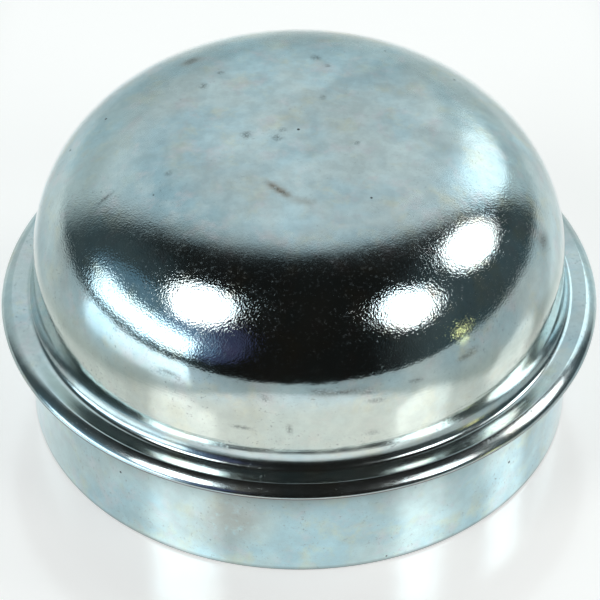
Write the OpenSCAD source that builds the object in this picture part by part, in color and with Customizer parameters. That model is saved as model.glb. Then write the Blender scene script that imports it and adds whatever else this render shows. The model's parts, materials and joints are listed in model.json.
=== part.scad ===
// Hub grease cap: one disc of sheet steel drawn into a cup and folded once on itself.
// The cap stands on its open rim, with its axis on Z and its crown upwards.
// The whole section is one sheet that runs from the axis, over the dome and the shoulder,
// down the wall, out and back through the folded flange, and down the skirt to the rim.
// The sheet has one thickness, except at the flange's edge, where the fold is squeezed
// between dies into a sloping brow over a tight lower corner.

/* [Sheet] */
// Thickness of the steel sheet
sheet_t = 0.55; // [0.4:0.05:0.8]

/* [Press fit] */
// Bore of the hub that the cap is driven into
hub_bore = 50.2; // [44:0.1:70]
// How much wider than the bore the skirt is, across its diameter
press = 0.1; // [0:0.02:0.2]
// Height of the skirt, from its open rim to the underside of the flange
skirt_h = 11.2; // [6:0.2:20]
// Radius on the rim's outer edge, which leads the skirt into the bore
rim_r = 0.25; // [0.1:0.05:0.35]

/* [Folded flange] */
// How far the flange stands out past the skirt
flange_reach = 2.55; // [2:0.05:5]
// Gap left between the two plies of the fold
ply_gap = 0.08; // [0.04:0.02:0.2]
// Steel left between the flange's edge and the inside of the fold
fold_wall = 1.0; // [0.8:0.05:1.3]
// Radius of the tight corner at the flange's lower edge
corner_r = 0.22; // [0.15:0.01:0.3]
// Lean from upright at which the corner passes into the nose, in degrees
corner_turn = 20; // [10:1:30]
// Radius of the rounded nose above the corner
nose_r = 0.95; // [0.5:0.05:1.2]
// Lean from upright at which the nose passes into the sloping brow, in degrees
nose_turn = 45; // [35:1:50]
// Lean from upright at which the brow passes into the knee, in degrees
knee_turn = 65; // [60:1:75]
// Radius of the small knee between the brow and the flange's flat top
knee_r = 0.3; // [0.1:0.05:0.6]
// Radius of the bend that turns the lower ply down into the skirt
under_r = 0.4; // [0.2:0.1:0.6]

/* [Crown] */
// How far the foot of the crown's wall is set in from the skirt
foot_inset = 0.55; // [0.4:0.05:1.5]
// Height of the crown above the flange
crown_h = 18.5; // [17:0.1:40]
// Lean of the wall towards the axis, in degrees
draft = 1.25; // [0:0.25:4]
// Radius of the easy flare at the bottom of the wall
flare_r = 2.5; // [1.5:0.1:4]
// Lean from upright at which the flare tightens into the root, in degrees
flare_turn = 33; // [15:1:45]
// Radius of the root, which turns the flare out into the flange
root_r = 0.65; // [0.3:0.05:1]
// Radius of the rounded shoulder between the wall and the dome
shoulder_r = 13.4; // [4:0.2:15]
// Slope of the shallow dome where it runs into the shoulder, in degrees
dome_slope = 5.6; // [2:0.2:10]

/* [Hidden] */

// Greatest distance between a round stretch and the straight pieces that follow it
chord_gap = 0.004;
// Sides of the preview round the axis
around = 144;

// Radii and levels of the sheet's outer face
skirt_r = (hub_bore + press) / 2;
flange_r = skirt_r + flange_reach;
foot_r = skirt_r - foot_inset;
flange_t = 2 * sheet_t + ply_gap;
flange_top = skirt_h + flange_t;
crown_top = flange_top + crown_h;

// Step of a given length in the direction that leans the given angle above level
function lean(length, angle) = length * [cos(angle), sin(angle)];

// The shoulder touches the wall's line, which leans in from the foot, and the dome's
// circle, whose centre is on the axis. dome_past is how much larger the dome's radius
// has to be than the shoulder's for both to hold.
dome_past = (foot_r * cos(draft) - shoulder_r - (crown_h - shoulder_r) * sin(draft))
    / (sin(dome_slope + draft) - sin(draft));
dome_r = shoulder_r + dome_past;
dome_c = [0, crown_top - dome_r];
shoulder_c = dome_c + dome_past * [sin(dome_slope), cos(dome_slope)];

// The flare touches the wall's line and the root's circle, which touches the flange's top
flare_past = flare_r - root_r;
root_x = (foot_r * cos(draft) + flare_r - flare_past * cos(flare_turn - draft)
    - root_r * sin(draft)) / cos(draft);
root_c = [root_x, flange_top + root_r];
flare_c = root_c + lean(flare_past, flare_turn);

// The corner touches the flange's underside and its outermost radius. The nose, the brow
// and the knee each touch the round before them, and the brow's radius is the one that
// brings the knee up to the flange's top.
brow_r = (flange_t - corner_r * (1 + sin(corner_turn))
    - nose_r * (sin(nose_turn) - sin(corner_turn))
    - knee_r * (1 - sin(knee_turn))) / (sin(knee_turn) - sin(nose_turn));
corner_c = [flange_r - corner_r, skirt_h + corner_r];
nose_c = corner_c + lean(corner_r - nose_r, corner_turn);
brow_c = nose_c + lean(nose_r - brow_r, nose_turn);
knee_c = brow_c + lean(brow_r - knee_r, knee_turn);

// The inside of the fold, the bend under the flange and the rim's edge
fold_c = [flange_r - fold_wall - ply_gap / 2, skirt_h + flange_t / 2];
under_c = [skirt_r + under_r, skirt_h - under_r];
rim_c = [skirt_r - rim_r, rim_r];

// Bends of even thickness: the centre, the radius of the outer face, the angles where
// the bend starts and ends, and 1 where it wraps round the cavity side of the sheet or
// -1 where it wraps round the outer side.
CROWN_BENDS = [
    [dome_c, dome_r, 90, 90 - dome_slope, 1],
    [shoulder_c, shoulder_r, 90 - dome_slope, draft, 1],
    [flare_c, flare_r, 180 + draft, 180 + flare_turn, -1],
    [root_c, root_r, 180 + flare_turn, 270, -1],
];
UNDER_BEND = [[under_c, under_r, 90, 180, -1]];

// Points on an arc, close enough together to stay within chord_gap of it
function arc(centre, r, from, to) =
    let (step = 2 * acos(1 - chord_gap / max(r, 2 * chord_gap)),
         n = ceil(abs(to - from) / step))
    [for (i = [0:n]) centre + lean(r, from + (to - from) * i / n)];

// The face of the bent sheet that lies depth below its outer face. The straight
// stretches are the lines between one bend's end and the next one's start.
function sheet_face(bends, depth) =
    [for (b = bends) each arc(b[0], b[1] - b[4] * depth, b[2], b[3])];

// The list of points without those that repeat the one before
function no_repeats(p) =
    [for (i = [0:len(p) - 1]) if (i == 0 || norm(p[i] - p[i - 1]) > chord_gap / 4) p[i]];

function backwards(p) = [for (i = [len(p) - 1:-1:0]) p[i]];

// From the axis to the rim over the outer face, and round the flange's squeezed edge
function outer_face() = concat(
    sheet_face(CROWN_BENDS, 0),
    arc(knee_c, knee_r, 90, knee_turn),
    arc(brow_c, brow_r, knee_turn, nose_turn),
    arc(nose_c, nose_r, nose_turn, corner_turn),
    arc(corner_c, corner_r, corner_turn, -90),
    sheet_face(UNDER_BEND, 0),
    arc(rim_c, rim_r, 0, -90)
);

// From the axis to the rim over the inner face, in and out of the fold
function inner_face() = concat(
    sheet_face(CROWN_BENDS, sheet_t),
    arc(fold_c, ply_gap / 2, 90, -90),
    sheet_face(UNDER_BEND, sheet_t),
    [[skirt_r - sheet_t, 0]]
);

function section() = no_repeats(concat(outer_face(), backwards(inner_face())));

module grease_cap() {
    color([0.74, 0.79, 0.80])
        rotate_extrude($fn = around)
            polygon(section());
}

grease_cap();
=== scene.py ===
"""Looks of a hub grease cap: one pressed steel shell with a bright zinc plate.

Every length is in metres, in the frame's own axes: the cap stands on its open rim at
z = 0, its axis is Z and its crown is upwards. The camera stands on the -Y side.
"""
import json
import logging
from dataclasses import dataclass, field
from enum import Enum

import bpy
import numpy as np
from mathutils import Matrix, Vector


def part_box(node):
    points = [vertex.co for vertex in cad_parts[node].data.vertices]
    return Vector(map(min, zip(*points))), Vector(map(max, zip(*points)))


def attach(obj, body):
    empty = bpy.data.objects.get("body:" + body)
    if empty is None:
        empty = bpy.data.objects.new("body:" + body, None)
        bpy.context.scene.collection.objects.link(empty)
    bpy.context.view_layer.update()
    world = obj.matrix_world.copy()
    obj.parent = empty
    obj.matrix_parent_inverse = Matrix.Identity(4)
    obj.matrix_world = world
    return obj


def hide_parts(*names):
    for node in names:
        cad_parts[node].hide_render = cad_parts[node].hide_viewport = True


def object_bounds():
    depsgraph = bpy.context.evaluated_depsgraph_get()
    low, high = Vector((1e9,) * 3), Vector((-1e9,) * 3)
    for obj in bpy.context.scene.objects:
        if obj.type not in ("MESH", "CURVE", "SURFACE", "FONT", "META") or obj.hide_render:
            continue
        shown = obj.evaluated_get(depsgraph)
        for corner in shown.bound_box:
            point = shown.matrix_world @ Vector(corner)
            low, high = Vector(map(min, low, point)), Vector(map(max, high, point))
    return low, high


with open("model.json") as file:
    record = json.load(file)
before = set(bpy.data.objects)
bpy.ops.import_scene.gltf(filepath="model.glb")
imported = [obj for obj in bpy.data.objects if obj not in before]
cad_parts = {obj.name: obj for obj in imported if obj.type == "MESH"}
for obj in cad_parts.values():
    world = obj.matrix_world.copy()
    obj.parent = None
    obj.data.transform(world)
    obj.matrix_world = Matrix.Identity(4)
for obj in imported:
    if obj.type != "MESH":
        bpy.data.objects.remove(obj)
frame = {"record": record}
CAD_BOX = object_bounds()

BODY = "root"
CAP_NODE = "grease_cap"
MM = 0.001

Colour = tuple[float, float, float]
log = logging.getLogger("grease_cap")


class Wraps(Enum):
    """Which face of the sheet lies on the inner side of a bend."""

    CAVITY = 1
    OUTSIDE = -1


class Face(Enum):
    """Which face of the sheet a stretch of the outline belongs to."""

    OUTER = 0
    INNER = 1


@dataclass(frozen=True)
class Bend:
    """One round stretch of the sheet's section.

    Attributes:
        centre: Radius and height of the bend's centre.
        radius: Radius of the sheet's outer face there.
        start: Angle where the bend starts, in degrees.
        end: Angle where it ends.
        wraps: The face on the inner side of the bend.
    """

    centre: tuple[float, float]
    radius: float
    start: float
    end: float
    wraps: Wraps

    def points(self, depth: float, spacing: float, fewest: int) -> np.ndarray:
        """Points on the face that lies depth below the outer face.

        A point is centre + r (cos a, sin a), with a in even steps and r the outer
        radius less depth on a bend round the cavity, or plus depth on the other kind.

        Args:
            depth: Distance below the outer face.
            spacing: Wanted distance between points.
            fewest: Least number of steps.

        Returns:
            An array of (radius, height) rows.
        """
        r = self.radius - self.wraps.value * depth
        length = abs(np.radians(self.end - self.start)) * r
        steps = max(fewest, int(np.ceil(length / spacing)))
        a = np.radians(np.linspace(self.start, self.end, steps + 1))
        return np.array(self.centre) + r * np.stack([np.cos(a), np.sin(a)], axis=1)


@dataclass(frozen=True)
class SheetSection:
    """Section of the cap: one sheet bent from the axis to the rim.

    The radii and levels that others seat on come from the frame, and the rest are the
    sizes of the pressing itself. An angle called a turn is the lean from upright at
    which one round passes into the next, in degrees.
    """

    skirt_r: float
    skirt_h: float
    flange_r: float
    crown_top: float
    sheet_t: float = 0.55 * MM
    ply_gap: float = 0.08 * MM
    rim_r: float = 0.25 * MM
    cut_r: float = 0.08 * MM
    fold_wall: float = 1.0 * MM
    corner_r: float = 0.22 * MM
    corner_turn: float = 20.0
    nose_r: float = 0.95 * MM
    nose_turn: float = 45.0
    knee_turn: float = 65.0
    knee_r: float = 0.3 * MM
    under_r: float = 0.4 * MM
    foot_inset: float = 0.55 * MM
    flare_r: float = 2.5 * MM
    flare_turn: float = 33.0
    root_r: float = 0.65 * MM
    shoulder_r: float = 13.4 * MM
    draft: float = 1.25
    dome_slope: float = 5.6
    fewest: int = 6

    @classmethod
    def from_frame(cls) -> "SheetSection":
        """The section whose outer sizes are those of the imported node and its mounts.

        Returns:
            The section.
        """
        low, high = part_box(CAP_NODE)
        mounts = {m["name"]: m for m in frame["record"]["mounts"]}
        return cls(
            skirt_r=mounts["press_skirt"]["dims"]["r_mm"] * MM,
            skirt_h=mounts["flange_seat"]["pos_m"][2],
            flange_r=(high[0] - low[0]) / 2,
            crown_top=high[2],
        )

    @property
    def flange_t(self) -> float:
        """Thickness of the folded flange: two plies and the gap between them."""
        return 2 * self.sheet_t + self.ply_gap

    def crown_bends(self) -> list[Bend]:
        """The bends of even thickness from the axis to the flange, in order.

        The shoulder's circle touches the wall's leaning line and the dome's circle,
        whose centre is on the axis. With q the dome's radius less the shoulder's R, a
        the dome's slope at its edge, d the wall's draft, f the foot's radius and c the
        crown's height, q = (f cos d - R - (c - R) sin d) / (sin(a + d) - sin d). The
        flare touches the wall's line and the root's circle, which touches the flange.

        Returns:
            The dome, the shoulder, the flare and the root.
        """
        d, a, turn = np.radians([self.draft, self.dome_slope, self.flare_turn])
        flange_top = self.skirt_h + self.flange_t
        foot_r = self.skirt_r - self.foot_inset
        crown_h = self.crown_top - flange_top
        reach = foot_r * np.cos(d) - self.shoulder_r - (crown_h - self.shoulder_r) * np.sin(d)
        past = reach / (np.sin(a + d) - np.sin(d))
        dome_r = self.shoulder_r + past
        dome_z = self.crown_top - dome_r
        shoulder_c = (past * np.sin(a), dome_z + past * np.cos(a))
        past = self.flare_r - self.root_r
        root_x = foot_r - self.root_r * np.tan(d)
        root_x += (self.flare_r - past * np.cos(turn - d)) / np.cos(d)
        root_c = (root_x, flange_top + self.root_r)
        flare_c = stepped(root_c, past, self.flare_turn)
        edge = 90 - self.dome_slope
        return [
            Bend((0.0, dome_z), dome_r, 90, edge, Wraps.CAVITY),
            Bend(shoulder_c, self.shoulder_r, edge, self.draft, Wraps.CAVITY),
            Bend(flare_c, self.flare_r, 180 + self.draft, 180 + self.flare_turn, Wraps.OUTSIDE),
            Bend(root_c, self.root_r, 180 + self.flare_turn, 270, Wraps.OUTSIDE),
        ]

    def edge_bends(self) -> list[Bend]:
        """The rounds of the flange's squeezed edge, from its top to its underside.

        Each round touches the one before it, and the brow's radius is the one that
        brings the knee up to the flange's top.

        Returns:
            The knee, the brow, the nose and the corner.
        """
        corner, nose, knee = np.sin(np.radians([self.corner_turn, self.nose_turn, self.knee_turn]))
        rise = self.flange_t - self.corner_r * (1 + corner) - self.nose_r * (nose - corner)
        brow_r = (rise - self.knee_r * (1 - knee)) / (knee - nose)
        corner_c = (self.flange_r - self.corner_r, self.skirt_h + self.corner_r)
        nose_c = stepped(corner_c, self.corner_r - self.nose_r, self.corner_turn)
        brow_c = stepped(nose_c, self.nose_r - brow_r, self.nose_turn)
        knee_c = stepped(brow_c, brow_r - self.knee_r, self.knee_turn)
        return [
            Bend(knee_c, self.knee_r, 90, self.knee_turn, Wraps.CAVITY),
            Bend(brow_c, brow_r, self.knee_turn, self.nose_turn, Wraps.CAVITY),
            Bend(nose_c, self.nose_r, self.nose_turn, self.corner_turn, Wraps.CAVITY),
            Bend(corner_c, self.corner_r, self.corner_turn, -90, Wraps.CAVITY),
        ]

    def outline(self, outer_step: float, inner_step: float) -> tuple[np.ndarray, np.ndarray]:
        """The closed outline from the apex over the rim to the apex's underside.

        Args:
            outer_step: Spacing of the points on the outer face.
            inner_step: Spacing on the inner face.

        Returns:
            The (radius, height) rows, and each row's Face value.
        """
        slot_x = self.flange_r - self.fold_wall - self.ply_gap / 2
        slot_c = (slot_x, self.skirt_h + self.flange_t / 2)
        under_c = (self.skirt_r + self.under_r, self.skirt_h - self.under_r)
        inside_r = self.skirt_r - self.sheet_t
        slot = Bend(slot_c, self.ply_gap / 2, 90, -90, Wraps.CAVITY)
        under = Bend(under_c, self.under_r, 90, 180, Wraps.OUTSIDE)
        lead = Bend((self.skirt_r - self.rim_r, self.rim_r), self.rim_r, 0, -90, Wraps.CAVITY)
        cut = Bend((inside_r + self.cut_r, self.cut_r), self.cut_r, 180, 270, Wraps.CAVITY)
        crown = self.crown_bends()

        over = [*crown, *self.edge_bends(), under, lead]
        outer = [b.points(0, outer_step, self.fewest) for b in over]
        inner = [b.points(self.sheet_t, inner_step, self.fewest) for b in crown]
        inner.append(slot.points(0, inner_step, self.fewest // 2))
        inner.append(under.points(self.sheet_t, inner_step, self.fewest))
        inner.append(cut.points(0, inner_step, self.fewest // 2))
        top = filled(np.concatenate(outer), outer_step)
        back = filled(np.concatenate(inner), inner_step)[::-1]
        faces = np.repeat([Face.OUTER.value, Face.INNER.value], [len(top), len(back)])
        return np.concatenate([top, back]), faces


def smooth(x: np.ndarray) -> np.ndarray:
    """A smooth step from 0 to 1: 3 x^2 - 2 x^3, with x held between 0 and 1."""
    x = np.clip(x, 0, 1)
    return x * x * (3 - 2 * x)


def stepped(start: tuple[float, float], length: float, angle: float) -> tuple[float, float]:
    """The point at a distance from a start, in a direction in degrees above level."""
    a = np.radians(angle)
    return start[0] + length * np.cos(a), start[1] + length * np.sin(a)


def filled(path: np.ndarray, step: float) -> np.ndarray:
    """A path without repeated points, whose straight stretches are divided.

    Args:
        path: Rows of (radius, height).
        step: Greatest distance wanted between neighbours.

    Returns:
        The rows of the new path.
    """
    gaps = np.linalg.norm(np.diff(path, axis=0), axis=1)
    path = path[np.concatenate([[True], gaps > step / 1000])]
    gaps = np.linalg.norm(np.diff(path, axis=0), axis=1)
    pieces = np.maximum(1, np.ceil(gaps / step - 0.5).astype(int))
    at = np.concatenate([[0], np.cumsum(pieces)])
    want = np.arange(at[-1] + 1)
    return np.stack([np.interp(want, at, path[:, k]) for k in (0, 1)], axis=1)


@dataclass(frozen=True)
class Scuff:
    """A small worn or stained place on the outer face.

    Attributes:
        turn: Angle round the axis, in degrees, 0 towards the camera, + to the right.
        along: Distance from the apex, measured over the outer face.
        length: Length of the mark.
        width: Width of the mark.
        slant: Angle of its length from the way round the axis, in degrees.
        strength: How strongly it shows, from 0 to 1.
    """

    turn: float
    along: float
    length: float
    width: float
    slant: float
    strength: float

    def cover(self, turn: np.ndarray, along: np.ndarray, radius: np.ndarray) -> np.ndarray:
        """How much of the mark lies at each point of the surface.

        With u along the mark and v across it, this is exp(-(u/l)^4 - (v/w)^2), with l
        and w half its length and width.

        Args:
            turn: Angle round the axis of each point, in radians, as in turn above.
            along: Distance of each point from the apex.
            radius: Distance of each point from the axis.

        Returns:
            Values from 0 to strength.
        """
        centre = np.radians(self.turn)
        round_by = (np.mod(turn - centre + np.pi, 2 * np.pi) - np.pi) * np.maximum(radius, MM)
        down_by = along - self.along
        s = np.radians(self.slant)
        u = round_by * np.cos(s) + down_by * np.sin(s)
        v = down_by * np.cos(s) - round_by * np.sin(s)
        return self.strength * np.exp(-((2 * u / self.length) ** 4) - (2 * v / self.width) ** 2)


class Graph:
    """A node tree, with short calls for the nodes that the finishes and world use."""

    def __init__(self, tree: bpy.types.NodeTree) -> None:
        """Keeps the tree and empties it."""
        self.tree = tree
        tree.nodes.clear()

    def node(self, kind: str, inputs: dict | None = None, **settings: object) -> bpy.types.Node:
        """Adds a node.

        Args:
            kind: Blender's name for the node's type.
            inputs: Values or sockets for its inputs, by name or number.
            **settings: Properties of the node.

        Returns:
            The new node.
        """
        made = self.tree.nodes.new(kind)
        for name, value in settings.items():
            setattr(made, name, value)
        for key, value in (inputs or {}).items():
            self.put(made.inputs[key], value)
        return made

    def put(self, socket: bpy.types.NodeSocket, value: object) -> None:
        """Links a socket to the value if that is a socket, and sets it otherwise.

        Args:
            socket: Input of a node.
            value: Socket, number, vector or colour.
        """
        if isinstance(value, bpy.types.NodeSocket):
            self.tree.links.new(value, socket)
        elif isinstance(value, tuple) and len(value) == 3 and socket.type == "RGBA":
            socket.default_value = (*value, 1.0)
        else:
            socket.default_value = value

    def math(self, operation: str, *values: object, clamp: bool = False) -> bpy.types.NodeSocket:
        """The result of a Math node on numbers or sockets."""
        inputs = dict(enumerate(values))
        return self.node("ShaderNodeMath", inputs, operation=operation, use_clamp=clamp).outputs[0]

    def vector(self, operation: str, *values: object) -> bpy.types.Node:
        """A Vector Math node on vectors or sockets."""
        return self.node("ShaderNodeVectorMath", dict(enumerate(values)), operation=operation)

    def scaled(self, vector: object, factor: object) -> bpy.types.NodeSocket:
        """A vector or colour times a number."""
        made = self.node("ShaderNodeVectorMath", {0: vector, "Scale": factor}, operation="SCALE")
        return made.outputs[0]

    def ramp(self, value: object, low: float, high: float, to_low: float = 0.0,
             to_high: float = 1.0) -> bpy.types.NodeSocket:
        """A smooth step of a value between two limits.

        Args:
            value: Number or socket.
            low: Value where the step starts.
            high: Value where it ends.
            to_low: Result at or below low.
            to_high: Result at or above high.

        Returns:
            The result's socket.
        """
        inputs = {0: value, 1: low, 2: high, 3: to_low, 4: to_high}
        return self.node("ShaderNodeMapRange", inputs, interpolation_type="SMOOTHSTEP").outputs[0]

    def noise(self, place: object, grain: float, detail: float = 2.0, rough: float = 0.5,
              warp: float = 0.0) -> bpy.types.NodeSocket:
        """Noise from 0 to 1 with blotches of about the size of grain."""
        inputs = {"Vector": place, "Scale": 1 / grain, "Detail": detail, "Roughness": rough,
                  "Distortion": warp}
        return self.node("ShaderNodeTexNoise", inputs).outputs["Fac"]

    def mix(self, share: object, first: object, second: object,
            blend: str = "MIX") -> bpy.types.NodeSocket:
        """A mix of two colours by a share of the second.

        Args:
            share: Share of the second colour.
            first: First colour.
            second: Second colour.
            blend: How the second is laid on.

        Returns:
            The mix's socket.
        """
        made = self.node("ShaderNodeMix", data_type="RGBA", blend_type=blend)
        self.put(made.inputs[0], share)
        self.put(made.inputs[6], first)
        self.put(made.inputs[7], second)
        return made.outputs[2]

    def between(self, share: object, first: object, second: object) -> bpy.types.NodeSocket:
        """A mix of two numbers by a share of the second."""
        return self.node("ShaderNodeMix", {0: share, 2: first, 3: second}).outputs[0]

    def bump(self, height: object, depth: float, on: object = None,
             sinks: bool = False) -> bpy.types.NodeSocket:
        """The normal of a relief.

        Args:
            height: Height of the relief, as a share of its depth.
            depth: Depth of the relief.
            on: Normal of the relief that it lies on, if there is one.
            sinks: Whether the relief goes into the surface.

        Returns:
            The normal's socket.
        """
        inputs = {"Strength": 1.0, "Distance": depth, "Height": height}
        if on is not None:
            inputs["Normal"] = on
        return self.node("ShaderNodeBump", inputs, invert=sinks).outputs[0]

    def attribute(self, name: str) -> bpy.types.NodeSocket:
        """A number that the mesh holds at its points."""
        return self.node("ShaderNodeAttribute", attribute_name=name).outputs["Fac"]


@dataclass(frozen=True)
class Cloud:
    """Noise over the surface, stepped smoothly between two of its values.

    Attributes:
        grain: Size of its blotches.
        detail: Number of finer layers in them.
        rough: Strength of each finer layer, as a share of the one before.
        warp: How far the blotches are stirred.
        low: Noise at which the step starts.
        high: Noise at which it ends.
        least: Result at or below low.
        most: Result at or above high.
    """

    grain: float
    detail: float
    rough: float
    warp: float
    low: float
    high: float
    least: float = 0.0
    most: float = 1.0

    def over(self, g: Graph, place: object) -> bpy.types.NodeSocket:
        """The cloud's result at each place."""
        noise = g.noise(place, self.grain, self.detail, self.rough, self.warp)
        return g.ramp(noise, self.low, self.high, self.least, self.most)


@dataclass(frozen=True)
class ZincPlate:
    """Bright zinc on pressed steel, with a satin crown and small marks.

    Attributes:
        body: Colour of the clean plate.
        cool: Tint of its bluish clouds.
        warm: Tint of its straw-coloured clouds.
        pink: Tint of its faint pink clouds.
        wall: Tint of the crown's wall.
        skirt: Share of each colour that the skirt throws back: a darker, bluer tint that is
            painted shade, standing in for the shaded floor close to the cap, which the skirt
            reflects.
        painted_shade: Colour of the painted shade in the recess under the flange, and of the
            painted contact shadow along the rim's lower edge.
        mark: Colour of pits and scuffs.
        lip_dark: Colour of the darker band along the flange's lower corner.
        stain: Colour of brownish stains.
        haze_and_shade: Colour of the broad bluish grey places: partly a tint of the plate, partly
            painted shade where the top's left front and the wall's left side are darkened to stand
            in for darker reflections.
        bright: Roughness of the glossy shoulder and wall.
        edge: Roughness of the squeezed flange.
        satin: Roughness of the crown's top.
        drawn: Roughness of the skirt.
        lip_dark_rough: Roughness that the darker band on the flange's lower corner adds.
        mark_rough: Roughness that pits, scuffs and specks add.
        peel: Size of the fine grain of the plated surface.
        peel_depth: Depth of that grain where it is strongest.
        lines: Width of the fine lines that drawing left round the axis.
        line_length: Length of those lines.
        line_depth: Their depth where they are strongest.
        line_least: Share of that depth that they have everywhere.
        line_from: Radius at which the lines have their length.
        sunk: Depth of pits, scuffs and specks.
        swell: Size of the soft unevenness of the pressing.
        swell_depth: Depth of that unevenness.
        pit_size: Size of the cells of which a few hold a pit.
        pit_few: Step that picks those cells, as a share of all cells.
        pit_core: Step at a pit's edge, as a share of a cell's size.
        wall_share: How much of the wall's tint its metal takes on.
        mottle_least: Share of the mottling away from the satin top.
        speck_top: Share of the dark specks that is left on the satin top.
        speck_fade: Step of the satin over which they thin out to that.
        apart: Shift that gives a cloud a pattern of its own.
        further: A second such shift.
        cool_cloud: Where the plate is bluish.
        warm_cloud: Where it is straw-coloured.
        pink_cloud: Where it is faintly pink.
        haze_cloud: How the broad grey places break up.
        mottle: Brightness of the fine mottling.
        broad: Brightness of the slow changes over the whole cap.
        smudge: Factor on the roughness of the clean plate.
        frosted: Roughness that the fine grain's specks add.
        worn: How scuffs break up.
        grimy: Where dark specks gather.
        speck: The dark specks themselves.
        stained: How stains break up.
    """

    body: Colour = (0.66, 0.75, 0.75)
    cool: Colour = (0.54, 0.71, 0.77)
    warm: Colour = (0.74, 0.75, 0.63)
    pink: Colour = (0.73, 0.71, 0.73)
    wall: Colour = (0.57, 0.61, 0.53)
    skirt: Colour = (0.82, 0.93, 0.95)
    painted_shade: Colour = (0.20, 0.24, 0.24)
    mark: Colour = (0.10, 0.11, 0.11)
    lip_dark: Colour = (0.13, 0.10, 0.10)
    stain: Colour = (0.38, 0.31, 0.24)
    haze_and_shade: Colour = (0.39, 0.56, 0.62)
    bright: float = 0.065
    edge: float = 0.16
    satin: float = 0.30
    drawn: float = 0.12
    lip_dark_rough: float = 0.3
    mark_rough: float = 0.25
    peel: float = 0.17 * MM
    peel_depth: float = 0.015 * MM
    lines: float = 0.22 * MM
    line_length: float = 9 * MM
    line_depth: float = 0.006 * MM
    line_least: float = 0.15
    line_from: float = 27 * MM
    sunk: float = 0.006 * MM
    swell: float = 3.0 * MM
    swell_depth: float = 0.03 * MM
    pit_size: float = 1.6 * MM
    pit_few: tuple[float, float] = (0.93, 0.94)
    pit_core: tuple[float, float] = (0.05, 0.11)
    wall_share: float = 0.65
    mottle_least: float = 0.55
    speck_top: float = 0.45
    speck_fade: tuple[float, float] = (0.2, 0.9)
    apart: tuple[float, float, float] = (0.3, 0.1, 0.2)
    further: tuple[float, float, float] = (0.7, 0.4, 0.5)
    cool_cloud: Cloud = Cloud(7 * MM, 3, 0.55, 0.2, 0.40, 0.66, 0, 0.8)
    warm_cloud: Cloud = Cloud(3.2 * MM, 4, 0.6, 0.2, 0.50, 0.74, 0, 0.7)
    pink_cloud: Cloud = Cloud(2.4 * MM, 4, 0.6, 0.2, 0.50, 0.74, 0, 0.6)
    haze_cloud: Cloud = Cloud(2.2 * MM, 4, 0.6, 0.1, 0.28, 0.62, 0.35, 1.0)
    mottle: Cloud = Cloud(1.3 * MM, 5, 0.62, 0.1, 0.28, 0.74, 0.90, 1.1)
    broad: Cloud = Cloud(9 * MM, 2, 0.5, 0.3, 0.36, 0.64, 0.90, 1.10)
    smudge: Cloud = Cloud(2.2 * MM, 4, 0.6, 0.15, 0.3, 0.7, 0.95, 1.15)
    frosted: Cloud = Cloud(0.3 * MM, 2, 0.6, 0, 0.52, 0.70, 0, 0.12)
    worn: Cloud = Cloud(0.18 * MM, 4, 0.7, 0, 0.30, 0.62)
    grimy: Cloud = Cloud(4 * MM, 3, 0.6, 0, 0.40, 0.64, 0, 0.6)
    speck: Cloud = Cloud(0.32 * MM, 4, 0.7, 0, 0.57, 0.74)
    stained: Cloud = Cloud(0.8 * MM, 3, 0.6, 0, 0.22, 0.5)

    def tint(self, g: Graph, place: object) -> bpy.types.NodeSocket:
        """Colour of the plate: three kinds of cloud over the colours of its zones.

        Args:
            g: The nodes that it is added to.
            place: Place on the piece.

        Returns:
            The colour's socket.
        """
        apart = g.vector("ADD", place, self.apart).outputs[0]
        further = g.vector("ADD", place, self.further).outputs[0]
        colour = g.mix(self.cool_cloud.over(g, place), self.body, self.cool)
        colour = g.mix(self.warm_cloud.over(g, apart), colour, self.warm)
        # partly painted shade: broad bluish grey places that also darken the top's left front and
        # the wall's left side
        haze_and_shade = g.math("MULTIPLY", self.haze_cloud.over(g, apart), g.attribute("haze_and_shade"))
        colour = g.mix(haze_and_shade, colour, self.haze_and_shade)
        colour = g.mix(self.pink_cloud.over(g, further), colour, self.pink)
        wall = g.math("MULTIPLY", g.attribute("wall"), self.wall_share)
        colour = g.mix(wall, colour, self.wall)
        # painted shade: the skirt is tinted darker and bluer to stand in for the shaded floor near
        # the cap that it reflects
        colour = g.mix(g.attribute("skirt"), colour, self.skirt, "MULTIPLY")
        share = g.math("MAXIMUM", g.attribute("satin"), self.mottle_least)
        shade = g.between(share, 1.0, self.mottle.over(g, place))
        return g.scaled(colour, g.math("MULTIPLY", shade, self.broad.over(g, further)))

    def rings(self, g: Graph, place: object) -> bpy.types.NodeSocket:
        """Noise drawn out round the axis.

        With r the distance from the axis, the noise is read at the four numbers
        (x k / r, y k / r, z / w, r / w), with w the lines' width and k the radius
        line_from over their length, so that it is long round the axis, without a seam.

        Args:
            g: The nodes that it is added to.
            place: Place on the piece.

        Returns:
            The noise's socket.
        """
        x, y, z = g.node("ShaderNodeSeparateXYZ", {0: place}).outputs
        flat = g.node("ShaderNodeCombineXYZ", {0: x, 1: y})
        out = g.vector("LENGTH", flat.outputs[0]).outputs["Value"]
        ahead = g.vector("NORMALIZE", flat.outputs[0]).outputs[0]
        round_by = g.scaled(ahead, self.line_from / self.line_length)
        level = g.node("ShaderNodeCombineXYZ", {2: g.math("DIVIDE", z, self.lines)})
        read = g.vector("ADD", round_by, level.outputs[0]).outputs[0]
        inputs = {"Vector": read, "W": g.math("DIVIDE", out, self.lines), "Scale": 1.0,
                  "Detail": 3.0, "Roughness": 0.6}
        return g.node("ShaderNodeTexNoise", inputs, noise_dimensions="4D").outputs["Fac"]

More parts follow.
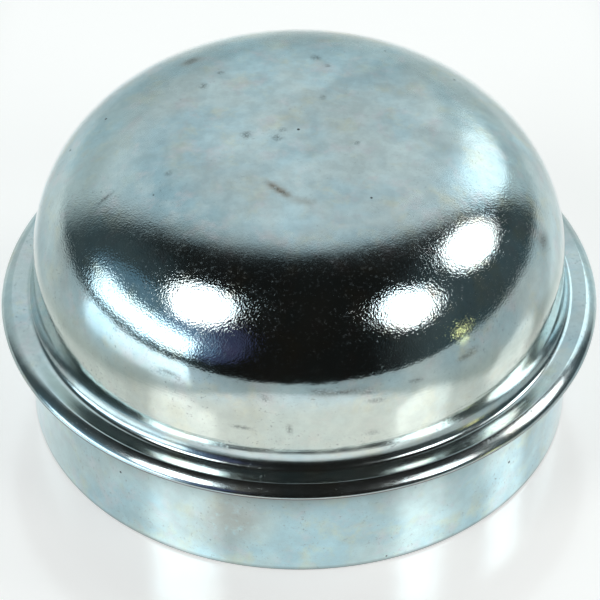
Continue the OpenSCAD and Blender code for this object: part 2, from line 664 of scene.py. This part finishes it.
    def pits(self, g: Graph, place: object) -> bpy.types.NodeSocket:
        """Sparse dark pits: the middles of a few cells of a cell pattern.

        Args:
            g: The nodes that it is added to.
            place: Place on the piece.

        Returns:
            A socket that is 1 in a pit and 0 outside.
        """
        cells = g.node("ShaderNodeTexVoronoi", {"Vector": place, "Scale": 1 / self.pit_size,
                                                 "Randomness": 1.0})
        chosen = g.node("ShaderNodeSeparateColor", {0: cells.outputs["Color"]})
        few = g.ramp(chosen.outputs[0], *self.pit_few)
        core = g.ramp(cells.outputs["Distance"], *self.pit_core, 1, 0)
        return g.math("MULTIPLY", few, core)

    def polish(self, g: Graph, place: object) -> bpy.types.NodeSocket:
        """Roughness of the clean plate: satin, drawn or bright, with smudges.

        Args:
            g: The nodes that it is added to.
            place: Place on the piece.

        Returns:
            The roughness's socket.
        """
        level = g.between(g.attribute("satin"), self.bright, self.satin)
        level = g.between(g.attribute("edge"), level, self.edge)
        level = g.between(g.attribute("skirt"), level, self.drawn)
        level = g.math("MULTIPLY", level, self.smudge.over(g, place))
        frosted = g.math("MULTIPLY", self.frosted.over(g, place), g.attribute("grain"))
        lip_dark = g.math("MULTIPLY", g.attribute("lip_dark"), self.lip_dark_rough)
        return g.math("ADD", level, g.math("MAXIMUM", frosted, lip_dark))

    def relief(self, g: Graph, place: object, dark: object) -> bpy.types.NodeSocket:
        """Normal of the uneven surface: soft swell, fine grain and sunk marks.

        Args:
            g: The nodes that it is added to.
            place: Place on the piece.
            dark: How much of a pit, speck or scuff lies there.

        Returns:
            The normal's socket.
        """
        peel = g.math("MULTIPLY", g.noise(place, self.peel, 1.5, 0.6), g.attribute("grain"))
        share = g.math("MAXIMUM", g.attribute("edge"), g.attribute("wall"))
        share = g.math("MAXIMUM", share, self.line_least)
        lines = g.math("MULTIPLY", self.rings(g, place), share)
        soft = g.bump(g.noise(place, self.swell, 2, 0.5), self.swell_depth)
        fine = g.bump(peel, self.peel_depth, soft)
        drawn = g.bump(lines, self.line_depth, fine)
        return g.bump(dark, self.sunk, drawn, sinks=True)

    def material(self) -> bpy.types.Material:
        """Builds the material.

        Returns:
            A metal whose tint, roughness and relief vary over the piece.
        """
        made = bpy.data.materials.new("bright_zinc_plate")
        made.use_nodes = True
        g = Graph(made.node_tree)
        place = g.node("ShaderNodeTexCoord").outputs["Object"]
        scuff = g.math("MULTIPLY", g.attribute("scuff"), self.worn.over(g, place), clamp=True)
        specks = g.math("MULTIPLY", self.speck.over(g, place), self.grimy.over(g, place))
        thinned = g.ramp(g.attribute("satin"), *self.speck_fade, 1, self.speck_top)
        specks = g.math("MULTIPLY", specks, thinned)
        dark = g.math("MAXIMUM", g.math("MAXIMUM", self.pits(g, place), specks), scuff)
        stain = g.math("MULTIPLY", g.attribute("stain"), self.stained.over(g, place))
        # painted shade: darkens the skirt just under the flange, and the rim's lower edge as a
        # painted contact shadow
        colour = g.mix(g.attribute("painted_shade"), self.tint(g, place), self.painted_shade)
        # darker band along the flange's lower corner
        colour = g.mix(g.attribute("lip_dark"), colour, self.lip_dark)
        colour = g.mix(dark, g.mix(stain, colour, self.stain), self.mark)
        added = g.math("MULTIPLY", dark, self.mark_rough)
        rough = g.math("ADD", self.polish(g, place), added, clamp=True)
        shader = g.node("ShaderNodeBsdfPrincipled",
                        {"Base Color": colour, "Metallic": 1.0, "Roughness": rough,
                         "Normal": self.relief(g, place, dark)})
        g.node("ShaderNodeOutputMaterial", {"Surface": shader.outputs[0]})
        return made


def pit(turn: float, along: float, size: float = 0.6, strength: float = 0.7) -> Scuff:
    """A small round mark, with its place in degrees and its other sizes in millimetres."""
    return Scuff(turn, along * MM, size * MM, size * MM * 0.8, 0.0, strength)


def rub(turn: float, along: float, length: float, width: float, slant: float = 0.0,
        strength: float = 0.7) -> Scuff:
    """A long mark, with its angles in degrees and its sizes in millimetres."""
    return Scuff(turn, along * MM, length * MM, width * MM, slant, strength)


@dataclass
class PressedShell:
    """The whole cap as one turned surface that replaces its CAD solid.

    Attributes:
        section: The sheet's section.
        finish: The plate on it.
        around: Number of steps round the axis.
        outer_step: Spacing along the outer face.
        inner_step: Spacing along the inner face.
        wave: Height of the slow waves that pressing leaves.
        waves: Number round the axis, turns per millimetre of sheet and phase of each.
        wave_from: Height above the flange's underside where the waves start.
        wave_rise: Height over which they then grow to their full size.
        wave_axis: Radius inside which they fade out towards the axis.
        grain_least: Share of the fine grain that is everywhere.
        grain_on_top: Share of it that is left on the crown's top.
        grain_from: Height above the crown's foot where the grain starts.
        grain_full: Height above the crown's foot where it is strongest.
        grain_top: Distance below the apex where it has faded to the satin top's.
        satin_top: Distance below the apex where the satin has ended.
        satin_inside: How satin the inner face is, from 0 to 1.
        recess: Depth below the flange over which the painted shade under it is darkest.
        deepest_shade: How dark that painted shade is there, from 0 to 1.
        fade: Distance over which that painted shade then falls to about a third.
        rim_shadow_line: Height up to which the rim's lower edge is darkened by a painted contact
            shadow.
        rim_shadow_fade: Height over which that painted shadow ends.
        lip_line: Height above the flange's underside up to which its corner is darkened.
        lip_fade: Height over which that darkening ends.
        seam: How far below the flange's underside the skirt's plate starts.
        edge_line: Height above the flange's top where the edge's finish ends.
        edge_fade: Height over which it ends.
        wall_from: Height above the flange's top where the wall's tint starts.
        wall_rise: Height over which it then grows.
        wall_fade: Height over which it ends below the grain.
        scuffs: Dark worn marks.
        stains: Brownish marks.
        hazes_and_shades: Broad bluish grey places, partly a tint of the plate and partly painted
            shade.
    """

    section: SheetSection
    finish: ZincPlate = field(default_factory=ZincPlate)
    around: int = 360
    outer_step: float = 0.33 * MM
    inner_step: float = 0.9 * MM
    wave: float = 0.006 * MM
    waves: tuple[tuple[float, float, float], ...] = (
        (3, 0.11, 0.4), (5, 0.07, 2.1), (7, 0.16, 4.0), (11, 0.21, 1.2),
    )
    wave_from: float = 4 * MM
    wave_rise: float = 4 * MM
    wave_axis: float = 8 * MM
    grain_least: float = 0.12
    grain_on_top: float = 0.15
    grain_from: float = 8.6 * MM
    grain_full: float = 11.5 * MM
    grain_top: float = 3.2 * MM
    satin_top: float = 3.4 * MM
    satin_inside: float = 0.6
    recess: float = 2.2 * MM
    deepest_shade: float = 0.85
    fade: float = 1.3 * MM
    rim_shadow_line: float = 0.35 * MM
    rim_shadow_fade: float = 0.2 * MM
    lip_line: float = 0.30 * MM
    lip_fade: float = 0.12 * MM
    seam: float = 0.01 * MM
    edge_line: float = 2.4 * MM
    edge_fade: float = 1.4 * MM
    wall_from: float = 1 * MM
    wall_rise: float = 1.5 * MM
    wall_fade: float = 3 * MM
    scuffs: tuple[Scuff, ...] = (
        pit(155, 5.1), pit(-82, 1.5), pit(-55, 2.4, 0.9), pit(-80, 4.8, 1.0),
        pit(-64, 12.9), pit(-139, 15.3, 1.2), pit(-128, 11.1, 0.9), pit(-141, 11.4),
        pit(69, 5.5), pit(165, 10.1), pit(172, 11.2, 1.0), pit(73, 25.6, 1.4),
        rub(-12, 8.6, 2.4, 0.35, 30), rub(-69, 19.0, 0.5, 1.8, 0, 0.8),
        rub(5, 28.4, 2.2, 0.35, 2, 0.9), rub(10, 28.5, 2.8, 0.3, -3, 0.9),
        rub(14, 28.8, 1.6, 0.4), rub(16, 29.9, 1.8, 0.35, 10), rub(-7, 29.1, 0.8, 0.6),
        rub(-12, 32.5, 1.8, 0.3, 4, 0.8), rub(-2, 32.3, 0.5, 0.9, 0, 0.8),
        rub(-29, 28.7, 2.0, 0.4, -6, 0.8), rub(-26, 28.8, 0.8, 0.4),
        rub(38, 28.5, 2.4, 0.5, -8, 0.8), rub(25, 28.9, 1.0, 0.4), rub(15, 33.4, 1.0, 0.4),
    )
    stains: tuple[Scuff, ...] = (
        rub(-12, 8.6, 2.8, 0.8, 30, 0.9), rub(2, 9.8, 2.6, 0.9, 15, 0.4),
        rub(34, 21.9, 0.7, 1.0, 0, 1.0), rub(-139, 15.3, 2.2, 1.4, 0, 0.5),
        rub(73, 25.6, 2.4, 1.8, 0, 0.4), rub(8, 28.6, 5.0, 0.9, 0, 0.35),
        rub(-14, 47.6, 4.8, 5.2, 20, 0.42),
    )
    # partly painted shade: those on the top's left front and the wall's left side stand in for
    # darker reflections
    hazes_and_shades: tuple[Scuff, ...] = (
        rub(-52, 14.6, 16, 7.5, 0, 0.9), rub(-118, 19.5, 13, 6.0, 0, 0.6),
        rub(-82, 12.2, 9, 2.0, 0, 0.35), rub(-166, 13.5, 13, 5.5, 0, 0.4),
        rub(150, 12.0, 10, 4.5, 0, 0.5), rub(-5, 3.4, 7, 2.6, 0, 0.45),
        rub(78, 12.6, 5, 2.4, 12, 0.3), rub(108, 14.6, 9, 3.0, 0, 0.5),
        rub(-70, 30, 22, 7, 0, 0.35),
    )

    def surface(self) -> tuple[np.ndarray, dict[str, np.ndarray]]:
        """Points of the turned surface, and what the finish reads at them.

        A point at angle t round the axis and step i of the outline is
        (r_i sin t, -r_i cos t, z_i), so that t = 0 faces the camera. A slow wave, the
        sum of a few cosines of t and of the distance s along the sheet, moves it
        along the sheet's own normal, and fades out at the axis and at the seats.

        Returns:
            An array of shape (rings, around, 3), and one (rings, around) array for
            each named value.
        """
        path, faces = self.section.outline(self.outer_step, self.inner_step)
        t = np.linspace(0, 2 * np.pi, self.around, endpoint=False)[None, :]
        r, z = path[:, :1], path[:, 1:]
        gaps = np.linalg.norm(np.diff(path, axis=0), axis=1)
        s = np.concatenate([[0], np.cumsum(gaps)])[:, None]
        slope = np.gradient(path, axis=0)
        slope /= np.linalg.norm(slope, axis=1, keepdims=True)
        out = np.stack([-slope[:, 1], slope[:, 0]], axis=1)
        outer = faces[:, None] == Face.OUTER.value

        lift = sum(np.cos(n * t + 2 * np.pi * f * s / MM + p) for n, f, p in self.waves)
        lift = lift / len(self.waves)
        crown = np.clip((z - self.section.skirt_h - self.wave_from) / self.wave_rise, 0, 1)
        near_axis = np.clip(r / self.wave_axis, 0, 1) ** 2
        height = self.wave * lift * crown * near_axis * outer
        rr = r + height * out[:, :1]
        zz = z + height * out[:, 1:]
        points = np.stack([rr * np.sin(t), -rr * np.cos(t), zz + 0 * t], axis=2)

        values = self.zones(z, outer)
        values |= {
            "scuff": self.cover(self.scuffs, t, s, r) * outer,
            "stain": self.cover(self.stains, t, s, r) * outer,
            "haze_and_shade": self.cover(self.hazes_and_shades, t, s, r) * outer,
        }
        return points, {name: value + 0 * t for name, value in values.items()}

    def zones(self, z: np.ndarray, outer: np.ndarray) -> dict[str, np.ndarray]:
        """The parts of the section that differ in finish.

        Each value is a smooth step of the height z, or a product of such steps. The
        painted shade in the recess under the flange alone fades as exp(-d / fade), with d
        the distance below it.

        Args:
            z: Height of each point of the outline.
            outer: Whether it lies on the outer face.

        Returns:
            An array of values from 0 to 1 for each name.
        """
        skirt_h, top = self.section.skirt_h, self.section.crown_top
        foot = skirt_h + self.section.flange_t
        under = skirt_h - self.seam
        low = smooth((z - foot - self.grain_from) / (self.grain_full - self.grain_from))
        high = smooth((top - z) / self.grain_top)
        grain = low * (self.grain_on_top + (1 - self.grain_on_top) * high) * outer
        satin = 1 - smooth((top - z) / self.satin_top)
        # painted shade: darkest just under the flange, where shade falls, plus a painted contact
        # shadow along the rim's lower edge
        painted_shade = self.deepest_shade * np.exp(-np.maximum(skirt_h - self.recess - z, 0) / self.fade)
        painted_shade *= z < skirt_h
        painted_shade = np.maximum(painted_shade, smooth((self.rim_shadow_line - z) / self.rim_shadow_fade))
        # darker, rougher band along the flange's lower corner
        lip = (z > under) * smooth((skirt_h + self.lip_line - z) / self.lip_fade)
        edge = smooth((foot + self.edge_line - z) / self.edge_fade)
        wall = smooth((foot + self.grain_from - z) / self.wall_fade)
        wall = wall * smooth((z - foot - self.wall_from) / self.wall_rise)
        return {
            "satin": np.where(outer, satin, self.satin_inside),
            "grain": self.grain_least + (1 - self.grain_least) * grain,
            "painted_shade": painted_shade * outer,
            "edge": edge * (outer & (z > under)),
            "wall": wall * outer,
            "skirt": np.where(outer & (z <= under), 1.0, 0.0),
            "lip_dark": lip * outer,
        }

    def cover(self, marks: tuple[Scuff, ...], t: np.ndarray, s: np.ndarray,
              r: np.ndarray) -> np.ndarray:
        """The strongest of the marks at each point of the grid."""
        none = np.zeros(np.broadcast(t, s).shape)
        return np.max([none, *[m.cover(t, s, r) for m in marks]], axis=0)

    def build(self) -> bpy.types.Object:
        """Makes the mesh: rings of four-sided faces, closed by a fan at each pole.

        Returns:
            The piece, with its place in its mesh.
        """
        points, values = self.surface()
        rings, around = points.shape[:2]
        body = points[1:-1].reshape(-1, 3)
        verts = np.concatenate([body, points[:1, 0], points[-1:, 0]])
        grid = np.arange(len(body)).reshape(rings - 2, around)
        beside = np.roll(grid, -1, axis=1)
        quads = np.stack([grid[:-1], grid[1:], beside[1:], beside[:-1]], axis=2).reshape(-1, 4)
        first, last = len(body), len(body) + 1
        top = np.stack([np.full(around, first), grid[0], beside[0]], axis=1)
        under = np.stack([np.full(around, last), beside[-1], grid[-1]], axis=1)

        mesh = bpy.data.meshes.new("pressed_shell")
        mesh.from_pydata(verts.tolist(), [], quads.tolist() + top.tolist() + under.tolist())
        mesh.shade_smooth()
        for name, value in values.items():
            flat = np.concatenate([value[1:-1].ravel(), value[:1, 0], value[-1:, 0]])
            layer = mesh.attributes.new(name, "FLOAT", "POINT")
            layer.data.foreach_set("value", flat.astype(np.float32))
        mesh.update()
        piece = bpy.data.objects.new("pressed_shell", mesh)
        bpy.context.scene.collection.objects.link(piece)
        return piece

    def dress(self, piece: bpy.types.Object) -> None:
        """Gives the piece its finish and its place in the frame.

        Args:
            piece: The cap's object.
        """
        piece.data.materials.append(self.finish.material())
        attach(piece, BODY)
        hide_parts(CAP_NODE)


class LampShape(Enum):
    """Outline of a soft lamp."""

    ROUND = "ELLIPSE"
    OBLONG = "RECTANGLE"


@dataclass(frozen=True)
class SoftLamp:
    """A large lamp that faces the cap.

    Attributes:
        name: What it is.
        turn: Angle round the cap, 0 on the camera's side, + to the right, in degrees.
        height: Angle above the floor, in degrees.
        wide: Angle that it covers sideways, seen from the cap.
        tall: Angle that it covers upwards.
        glow: Brightness of its face, where 1 is white.
        tint: Colour of its light.
        shape: Its outline.
        away: Distance from the cap.
    """

    name: str
    turn: float
    height: float
    wide: float
    tall: float
    glow: float
    tint: Colour = (1.0, 1.0, 1.0)
    shape: LampShape = LampShape.ROUND
    away: float = 0.9

    def build(self, aim: Vector) -> None:
        """Places the lamp and turns its face to the aim.

        Its power is glow x area x pi, or glow x area x pi x pi / 4 for a round one, so
        that its face has the wanted brightness.

        Args:
            aim: Point that it faces.
        """
        a, e = np.radians(self.turn), np.radians(self.height)
        away = Vector((np.sin(a) * np.cos(e), -np.cos(a) * np.cos(e), np.sin(e)))
        data = bpy.data.lights.new(self.name, "AREA")
        data.shape = self.shape.value
        data.size = 2 * self.away * np.tan(np.radians(self.wide / 2))
        data.size_y = 2 * self.away * np.tan(np.radians(self.tall / 2))
        area = data.size * data.size_y * (np.pi / 4 if self.shape is LampShape.ROUND else 1)
        data.energy = self.glow * area * np.pi
        data.color = self.tint
        lamp = bpy.data.objects.new(self.name, data)
        lamp.location = aim + self.away * away
        lamp.rotation_euler = (-away).to_track_quat("-Z", "Y").to_euler()
        bpy.context.scene.collection.objects.link(lamp)


@dataclass(frozen=True)
class Backdrop:
    """The surround: a pale sweep behind the cap, and an unlit room in front of it.

    Attributes:
        low: Colour of the sweep near the floor.
        high: Colour of the sweep overhead.
        room: Colour of the unlit room.
        sides: Colour that the room takes on towards its left and right.
        lean: How far the sweep's edge leans forward overhead.
        edge: Where the sweep ends, as the sine of an angle behind the cap's sides.
        cut: How much more the sweep is cut back on the right.
        cut_left: How much more it is cut back on the left.
        soft: Half the width of its soft edge.
        soft_left: Half the width of that edge on the left, which lies half of this
            further back.
        aside: Step sideways over which the room takes on its sides' colour.
        rise: Step upwards over which the sweep goes from low to high.
    """

    low: Colour = (0.47, 0.56, 0.57)
    high: Colour = (0.63, 0.71, 0.73)
    room: Colour = (0.0090, 0.0085, 0.0075)
    sides: Colour = (0.055, 0.075, 0.080)
    lean: float = 0.23
    edge: float = 0.378
    cut: float = 0.32
    cut_left: float = 0.14
    soft: float = 0.07
    soft_left: float = 0.14
    aside: tuple[float, float] = (0.45, 0.95)
    rise: tuple[float, float] = (0.3, 0.66)

    def build(self) -> None:
        """Makes the world, which every ray sees alike."""
        world = bpy.data.worlds.new("studio")
        bpy.context.scene.world = world
        world.use_nodes = True
        g = Graph(world.node_tree)
        way = g.node("ShaderNodeTexCoord").outputs["Generated"]
        left = g.vector("DOT_PRODUCT", way, (self.cut_left, 1.0, self.lean)).outputs["Value"]
        right = g.vector("DOT_PRODUCT", way, (-self.cut, 1.0, self.lean)).outputs["Value"]
        left = g.ramp(left, self.edge - self.soft_left / 2, self.edge + 1.5 * self.soft_left)
        right = g.ramp(right, self.edge - self.soft, self.edge + self.soft)
        behind = g.math("MULTIPLY", left, right)
        across, _, up = g.node("ShaderNodeSeparateXYZ", {0: way}).outputs
        aside = g.ramp(g.math("ABSOLUTE", across), *self.aside)
        sweep = g.mix(g.ramp(up, *self.rise), self.low, self.high)
        seen = g.mix(behind, g.mix(aside, self.room, self.sides), sweep)
        shader = g.node("ShaderNodeBackground", {"Color": seen, "Strength": 1.0})
        g.node("ShaderNodeOutputWorld", {"Surface": shader.outputs[0]})


@dataclass(frozen=True)
class Floor:
    """A pale round table top under the cap.

    Attributes:
        radius: Its radius.
        colour: Its colour.
        gloss: Roughness of its satin surface.
        index: Index of refraction of its varnish.
        lift: Light added for the rays that show the background.
        pool: Half the width and half the depth of the pool of light round the cap.
        fades: How many times those the pool reaches before it has faded.
        outside: Share of each colour's brightness that is left outside the pool.
        sides: Number of sides.
        below: How far it lies below the rim.
    """

    radius: float = 0.36
    colour: Colour = (0.84, 0.83, 0.79)
    gloss: float = 0.16
    index: float = 2.0
    lift: float = 0.50
    pool: tuple[float, float] = (31 * MM, 90 * MM)
    fades: float = 1.5
    outside: Colour = (0.57, 0.61, 0.61)
    sides: int = 180
    below: float = 0.02 * MM

    def build(self) -> None:
        """Makes the table top as one flat disc just under the rim."""
        a = np.linspace(0, 2 * np.pi, self.sides, endpoint=False)
        x, y = self.radius * np.cos(a), self.radius * np.sin(a)
        rim = np.stack([x, y, 0 * a - self.below], axis=1)
        mesh = bpy.data.meshes.new("table_top")
        mesh.from_pydata(rim.tolist(), [], [list(range(self.sides))])
        piece = bpy.data.objects.new("table_top", mesh)
        bpy.context.scene.collection.objects.link(piece)
        piece.data.materials.append(self.material())

    def tone(self, g: Graph, place: object) -> bpy.types.NodeSocket:
        """Tone of the table top, which falls off round the pool of light.

        With a and b half the pool's width and depth, it goes from 1 to the outside's
        tone as ((x/a)^4 + (y/b)^4)^(1/4) goes from 1 to fades.

        Args:
            g: The nodes that it is added to.
            place: Place on the table top.

        Returns:
            The tone's socket.
        """
        scaled = g.vector("DIVIDE", place, (*self.pool, 1.0)).outputs[0]
        squares = g.vector("MULTIPLY", scaled, scaled).outputs[0]
        fourths = g.vector("DOT_PRODUCT", squares, squares).outputs["Value"]
        out = g.ramp(g.math("POWER", fourths, 0.25), 1.0, self.fades)
        return g.mix(out, (1.0, 1.0, 1.0), self.outside)

    def material(self) -> bpy.types.Material:
        """A satin pale paint that the camera and the metal see a little lighter.

        Returns:
            The paint.
        """
        made = bpy.data.materials.new("table_paint")
        made.use_nodes = True
        g = Graph(made.node_tree)
        rays = g.node("ShaderNodeLightPath").outputs
        shown = g.math("MAXIMUM", rays["Is Camera Ray"],
                       g.math("MAXIMUM", rays["Is Glossy Ray"], rays["Is Transmission Ray"]))
        place = g.node("ShaderNodeTexCoord").outputs["Object"]
        tone = self.tone(g, place)
        paint = g.node("ShaderNodeBsdfPrincipled",
                       {"Base Color": g.mix(1.0, tone, self.colour, "MULTIPLY"),
                        "Roughness": self.gloss, "IOR": self.index})
        lift = g.math("MULTIPLY", shown, self.lift)
        glow = g.node("ShaderNodeEmission", {"Color": tone, "Strength": lift})
        both = g.node("ShaderNodeAddShader", {0: paint.outputs[0], 1: glow.outputs[0]})
        g.node("ShaderNodeOutputMaterial", {"Surface": both.outputs[0]})
        return made


@dataclass(frozen=True)
class Camera:
    """The camera at the photograph's angle.

    Attributes:
        height: Angle above the floor, in degrees.
        away: Distance from its target.
        lens: Focal length on a sensor 36 mm wide, in millimetres.
        target: Point on the axis that it is set up on.
        lower: How far below the target it points.
        aside: How far to the right of the target it points.
    """

    height: float = 40.84
    away: float = 332.4 * MM
    lens: float = 213.98
    target: tuple[float, float, float] = (0.0, 0.0, 11.8 * MM)
    lower: float = 1.025 * MM
    aside: float = 0.084 * MM

    def build(self) -> None:
        """Makes the camera and hands it to the scene."""
        e = np.radians(self.height)
        back = Vector((0, -np.cos(e), np.sin(e)))
        right = Vector((1, 0, 0))
        target = Vector(self.target)
        aim = target - self.lower * back.cross(right) + self.aside * right
        data = bpy.data.cameras.new("camera")
        data.lens = self.lens
        camera = bpy.data.objects.new("camera", data)
        camera.location = target + self.away * back
        camera.rotation_euler = (aim - camera.location).to_track_quat("-Z", "Y").to_euler()
        bpy.context.scene.collection.objects.link(camera)
        bpy.context.scene.camera = camera


@dataclass
class Studio:
    """Everything round the cap: camera, lamps, surround and table."""

    camera: Camera = field(default_factory=Camera)
    backdrop: Backdrop = field(default_factory=Backdrop)
    floor: Floor = field(default_factory=Floor)
    lamps: tuple[SoftLamp, ...] = (
        SoftLamp("left_lamp", -50, 41, 23, 26, 4.2),
        SoftLamp("right_front_lamp", 53, 35.5, 20, 24, 4.0),
        SoftLamp("right_back_lamp", 100, 35.5, 21, 23, 4.0),
        SoftLamp("window", -68, 10, 50, 15, 2.4, (0.78, 0.93, 1.0), LampShape.OBLONG),
        SoftLamp("window_glow", -66, 17, 62, 34, 0.20, (0.42, 0.75, 1.0)),
        SoftLamp("blue_corner", -40, 21, 36, 34, 0.10, (0.42, 0.47, 1.0)),
        SoftLamp("amber_glint", 67, 2, 3.5, 4, 3.4, (1.0, 0.93, 0.40)),
        SoftLamp("side_glow", 139, 29, 26, 28, 1.0, (0.85, 0.97, 1.0)),
    )

    def build(self) -> None:
        """Sets the stage, with colours shown as they are."""
        bpy.context.scene.view_settings.view_transform = "Standard"
        self.camera.build()
        self.backdrop.build()
        self.floor.build()
        aim = Vector((0, 0, (CAD_BOX[0][2] + CAD_BOX[1][2]) / 2))
        for lamp in self.lamps:
            lamp.build(aim)
            log.info("lamp %s", lamp.name)


def main() -> None:
    """Builds the studio and the cap, and reports each piece."""
    logging.basicConfig(level=logging.INFO, format="%(name)s: %(message)s")
    Studio().build()
    shell = PressedShell(SheetSection.from_frame())
    piece = shell.build()
    shell.dress(piece)
    mesh = piece.data
    log.info("%s: %d points, %d faces", piece.name, len(mesh.vertices), len(mesh.polygons))


if __name__ == "__main__":
    main()
